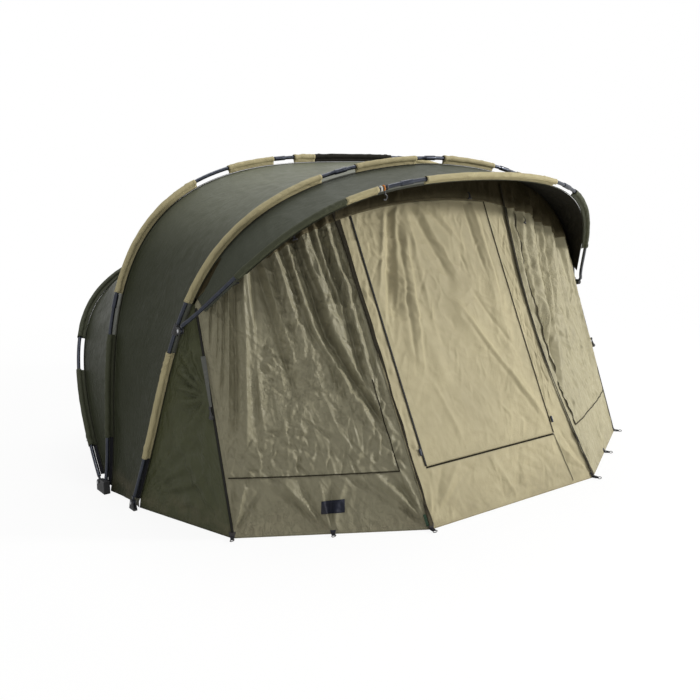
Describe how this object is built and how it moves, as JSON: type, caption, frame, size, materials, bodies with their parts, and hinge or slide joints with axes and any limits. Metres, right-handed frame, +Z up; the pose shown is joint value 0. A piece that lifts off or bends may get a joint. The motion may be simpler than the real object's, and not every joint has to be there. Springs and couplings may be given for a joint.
{
  "type": "bivvy tent",
  "caption": "Two-person fishing bivvy: four hooped ribs that fold from ground blocks, sleeved canopy, peaked visor, zipped front panels and a drop door.",
  "frame": {"origin": "on the ground under the middle of the plan", "axes": "+Z up, the front with the door faces -Y, +X is the tent's width to the right of someone who looks along +Y"},
  "size_m": [3.0376, 2.7618, 1.5917],
  "materials": {
    "cover_slider_left": "black moulded plastic",
    "cover_slider_right": "black moulded plastic",
    "door_panel": "woven khaki cloth",
    "door_slider_left": "plain bright pin",
    "door_slider_right": "plain bright pin",
    "door_surround": "woven khaki cloth",
    "foot_pin_left": "plain bright pin",
    "foot_pin_right": "plain bright pin",
    "front_foot_left": "black moulded plastic",
    "front_foot_right": "black moulded plastic",
    "front_panel_left": "woven khaki cloth",
    "front_panel_right": "woven khaki cloth",
    "front_rib_pole_left_lower": "dark blue-grey coated tube, satin",
    "front_rib_pole_left_upper": "dark blue-grey coated tube, satin",
    "front_rib_pole_right_lower": "dark blue-grey coated tube, satin",
    "front_rib_pole_right_upper": "dark blue-grey coated tube, satin",
    "front_rib_sleeve_left_crown": "woven khaki cloth",
    "front_rib_sleeve_left_lower": "woven khaki cloth",
    "front_rib_sleeve_left_upper": "woven khaki cloth",
    "front_rib_sleeve_right_crown": "woven khaki cloth",
    "front_rib_sleeve_right_lower": "woven khaki cloth",
    "front_rib_sleeve_right_upper": "woven khaki cloth",
    "hub_block_left": "black moulded plastic",
    "hub_block_right": "black moulded plastic",
    "hub_pin_left": "plain bright pin",
    "hub_pin_right": "plain bright pin",
    "knuckle_left": "black moulded plastic",
    "knuckle_pin_left": "plain bright pin",
    "knuckle_pin_right": "plain bright pin",
    "knuckle_right": "black moulded plastic",
    "main_rib_pole_crown": "dark blue-grey coated tube, satin",
    "main_rib_pole_left_lower": "dark blue-grey coated tube, satin",
    "main_rib_pole_left_upper": "dark blue-grey coated tube, satin",
    "main_rib_pole_right_lower": "dark blue-grey coated tube, satin",
    "main_rib_pole_right_upper": "dark blue-grey coated tube, satin",
    "main_rib_sleeve_crown": "woven khaki cloth",
    "main_rib_sleeve_left_crown": "woven khaki cloth",
    "main_rib_sleeve_left_lower": "woven khaki cloth",
    "main_rib_sleeve_left_upper": "woven khaki cloth",
    "main_rib_sleeve_right_crown": "woven khaki cloth",
    "main_rib_sleeve_right_lower": "woven khaki cloth",
    "main_rib_sleeve_right_upper": "woven khaki cloth",
    "middle_bay": "woven grey-green cloth",
    "peak_rib_pole_crown": "dark blue-grey coated tube, satin",
    "peak_rib_pole_left_lower": "dark blue-grey coated tube, satin",
    "peak_rib_pole_right_lower": "dark blue-grey coated tube, satin",
    "peak_rib_sleeve_crown": "woven khaki cloth",
    "peak_rib_sleeve_left": "woven khaki cloth",
    "peak_rib_sleeve_right": "woven khaki cloth",
    "rear_bay": "woven grey-green cloth",
    "rear_rib_pole_left_half": "dark blue-grey coated tube, satin",
    "rear_rib_pole_right_half": "dark blue-grey coated tube, satin",
    "rear_rib_sleeve_left": "woven grey-green cloth",
    "rear_rib_sleeve_right": "woven grey-green cloth",
    "rear_wall": "woven dark olive cloth",
    "visor": "woven dark olive cloth",
    "window_cover_left": "woven khaki cloth",
    "window_cover_right": "woven khaki cloth",
    "wing_left": "woven dark olive cloth",
    "wing_right": "woven dark olive cloth"
  },
  "bodies": {
    "base": {"foot_pin_left": "foot_pin_left", "foot_pin_right": "foot_pin_right", "front_foot_left": "front_foot_left", "front_foot_right": "front_foot_right", "hub_block_left": "hub_block_left", "hub_block_right": "hub_block_right", "hub_pin_left": "hub_pin_left", "hub_pin_right": "hub_pin_right", "main_rib_pole_crown": "main_rib_pole_crown", "main_rib_pole_left_lower": "main_rib_pole_left_lower", "main_rib_pole_left_upper": "main_rib_pole_left_upper", "main_rib_pole_right_lower": "main_rib_pole_right_lower", "main_rib_pole_right_upper": "main_rib_pole_right_upper", "main_rib_sleeve_crown": "main_rib_sleeve_crown", "main_rib_sleeve_left_crown": "main_rib_sleeve_left_crown", "main_rib_sleeve_left_lower": "main_rib_sleeve_left_lower", "main_rib_sleeve_left_upper": "main_rib_sleeve_left_upper", "main_rib_sleeve_right_crown": "main_rib_sleeve_right_crown", "main_rib_sleeve_right_lower": "main_rib_sleeve_right_lower", "main_rib_sleeve_right_upper": "main_rib_sleeve_right_upper", "middle_bay": "middle_bay"},
    "rear_rib": {"rear_bay": "rear_bay", "rear_rib_pole_left_half": "rear_rib_pole_left_half", "rear_rib_pole_right_half": "rear_rib_pole_right_half", "rear_rib_sleeve_left": "rear_rib_sleeve_left", "rear_rib_sleeve_right": "rear_rib_sleeve_right", "rear_wall": "rear_wall"},
    "front_rib": {"door_surround": "door_surround", "front_panel_left": "front_panel_left", "front_panel_right": "front_panel_right", "front_rib_pole_left_lower": "front_rib_pole_left_lower", "front_rib_pole_left_upper": "front_rib_pole_left_upper", "front_rib_pole_right_lower": "front_rib_pole_right_lower", "front_rib_pole_right_upper": "front_rib_pole_right_upper", "front_rib_sleeve_left_crown": "front_rib_sleeve_left_crown", "front_rib_sleeve_left_lower": "front_rib_sleeve_left_lower", "front_rib_sleeve_left_upper": "front_rib_sleeve_left_upper", "front_rib_sleeve_right_crown": "front_rib_sleeve_right_crown", "front_rib_sleeve_right_lower": "front_rib_sleeve_right_lower", "front_rib_sleeve_right_upper": "front_rib_sleeve_right_upper", "knuckle_left": "knuckle_left", "knuckle_pin_left": "knuckle_pin_left", "knuckle_pin_right": "knuckle_pin_right", "knuckle_right": "knuckle_right", "window_cover_left": "window_cover_left", "window_cover_right": "window_cover_right", "wing_left": "wing_left", "wing_right": "wing_right"},
    "peak_rib": {"peak_rib_pole_crown": "peak_rib_pole_crown", "peak_rib_pole_left_lower": "peak_rib_pole_left_lower", "peak_rib_pole_right_lower": "peak_rib_pole_right_lower", "peak_rib_sleeve_crown": "peak_rib_sleeve_crown", "peak_rib_sleeve_left": "peak_rib_sleeve_left", "peak_rib_sleeve_right": "peak_rib_sleeve_right", "visor": "visor"},
    "door": {"door_panel": "door_panel"},
    "cover_slider_left": {"cover_slider_left": "cover_slider_left"},
    "cover_slider_right": {"cover_slider_right": "cover_slider_right"},
    "door_slider_left": {"door_slider_left": "door_slider_left"},
    "door_slider_right": {"door_slider_right": "door_slider_right"}
  },
  "joints": [
    {"name": "rear_rib_fold", "type": "hinge", "parent": "base", "child": "rear_rib", "pos_m": [0, -0.061, 0.042], "axis": [1, 0, 0], "range_deg": [0, 35], "deforming": ["rear_bay"]},
    {"name": "front_rib_fold", "type": "hinge", "parent": "base", "child": "front_rib", "pos_m": [0, -0.388, 0.034], "axis": [1, 0, 0], "range_deg": [-18, 0], "deforming": ["middle_bay"]},
    {"name": "peak_rib_fold", "type": "hinge", "parent": "front_rib", "child": "peak_rib", "pos_m": [0, -0.59927, 0.844], "axis": [1, 0, 0], "range_deg": [-22, 0], "deforming": ["visor"]},
    {"name": "door_drop", "type": "hinge", "parent": "front_rib", "child": "door", "pos_m": [0, -1.2725, 0.2408], "axis": [1, 0, 0], "range_deg": [0, 124]},
    {"name": "cover_zip_left", "type": "slide", "parent": "front_rib", "child": "cover_slider_left", "axis": [0.0438, 0.3477, 0.9366], "range_m": [-0.2, 0.24]},
    {"name": "cover_zip_right", "type": "slide", "parent": "front_rib", "child": "cover_slider_right", "axis": [-0.0438, 0.3477, 0.9366], "range_m": [-0.2, 0.24]},
    {"name": "door_zip_left", "type": "slide", "parent": "front_rib", "child": "door_slider_left", "axis": [-0.0418, 0.418, 0.9075], "range_m": [0, 1.08]},
    {"name": "door_zip_right", "type": "slide", "parent": "front_rib", "child": "door_slider_right", "axis": [-0.0341, 0.4045, 0.9139], "range_m": [0, 1.08]}
  ]
}
